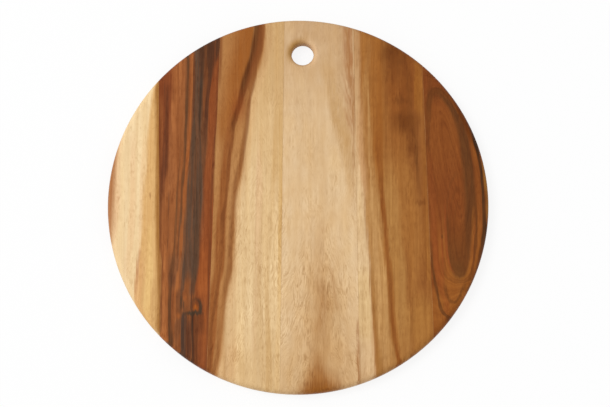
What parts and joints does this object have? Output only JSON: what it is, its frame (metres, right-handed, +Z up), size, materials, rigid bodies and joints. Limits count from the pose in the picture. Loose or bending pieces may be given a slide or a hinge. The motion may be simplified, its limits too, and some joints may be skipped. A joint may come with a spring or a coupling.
{
  "type": "pizza serving board",
  "caption": "Round wooden serving board, edge-glued from long tapered staves, with a rounded rim on both faces and a flared hole near the rim for hanging.",
  "frame": {"origin": "centre of the underside, on the surface that the board rests on", "axes": "+Z up out of the serving face, staves along Y, hanging hole near the rim on the +Y side, pale sapwood stave on the -X side"},
  "size_m": [0.35, 0.35, 0.015],
  "materials": {
    "pale_sapwood": "oiled satin",
    "dark_heartwood": "oiled satin",
    "streaked_wood": "oiled satin",
    "blond_wood": "oiled satin",
    "honey_wood": "oiled satin",
    "red_heartwood": "oiled satin",
    "cured_glue": "sanded flush"
  },
  "bodies": {
    "root": {"sapwood_edge_stave": "pale_sapwood", "dark_heart_stave": "dark_heartwood", "streaked_stave": "streaked_wood", "hanging_hole_stave": "blond_wood", "honey_stave": "honey_wood", "cathedral_edge_stave": "red_heartwood", "glue_line_1": "cured_glue", "glue_line_2": "cured_glue", "glue_line_3": "cured_glue", "glue_line_4": "cured_glue", "glue_line_5": "cured_glue"}
  },
  "joints": []
}
